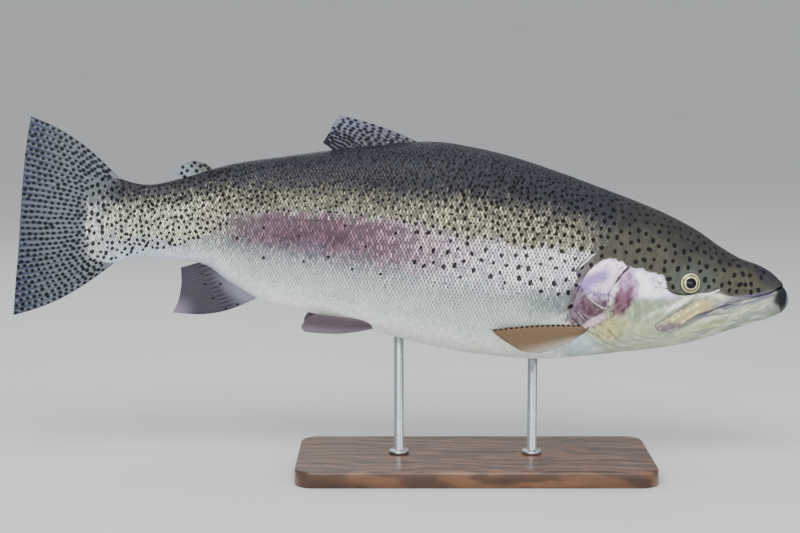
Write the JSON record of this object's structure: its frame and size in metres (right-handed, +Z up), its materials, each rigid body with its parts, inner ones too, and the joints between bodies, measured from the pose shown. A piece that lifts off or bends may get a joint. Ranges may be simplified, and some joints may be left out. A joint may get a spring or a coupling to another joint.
{
  "type": "rainbow trout display model",
  "caption": "Life-size still model of an adult male rainbow trout swimming nose down, held over a flat wooden base by slim steel rods.",
  "frame": {"origin": "centre of the flat underside of the stand's base", "axes": "+X the way the fish swims, tail to nose; +Y to the fish's left; +Z up, out of the base"},
  "size_m": [0.6543, 0.124, 0.3003],
  "materials": {
    "skin_head": "wet scaleless skin, olive brown above with round black spots, white to cream on cheek and throat",
    "skin_body": "small silvery scales, slate olive back, rose band along the side, pale belly, black spots",
    "gill_cover": "smooth pearly plate, white lilac above and mauve below",
    "fin_membrane": "thin rayed membrane, slate to mauve, spotted on back and tail fins",
    "eye": "wet glossy eye, gold iris round a black pupil",
    "stand_wood": "satin dark walnut with rounded edges",
    "stand_steel": "finely brushed rod"
  },
  "bodies": {
    "root": {"head": "skin_head", "lower_jaw": "skin_head", "maxilla_left": "skin_head", "maxilla_right": "skin_head", "gill_cover_left": "gill_cover", "gill_cover_right": "gill_cover", "eye_left": "eye", "eye_right": "eye", "trunk_front": "skin_body", "trunk_rear": "skin_body", "tail_stalk": "skin_body", "fin_caudal": "fin_membrane", "fin_dorsal": "fin_membrane", "fin_adipose": "fin_membrane", "fin_anal": "fin_membrane", "fin_pectoral_left": "fin_membrane", "fin_pectoral_right": "fin_membrane", "fin_pelvic_left": "fin_membrane", "fin_pelvic_right": "fin_membrane", "stand_base": "stand_wood", "stand_rod_front": "stand_steel", "stand_rod_rear": "stand_steel"}
  },
  "joints": []
}
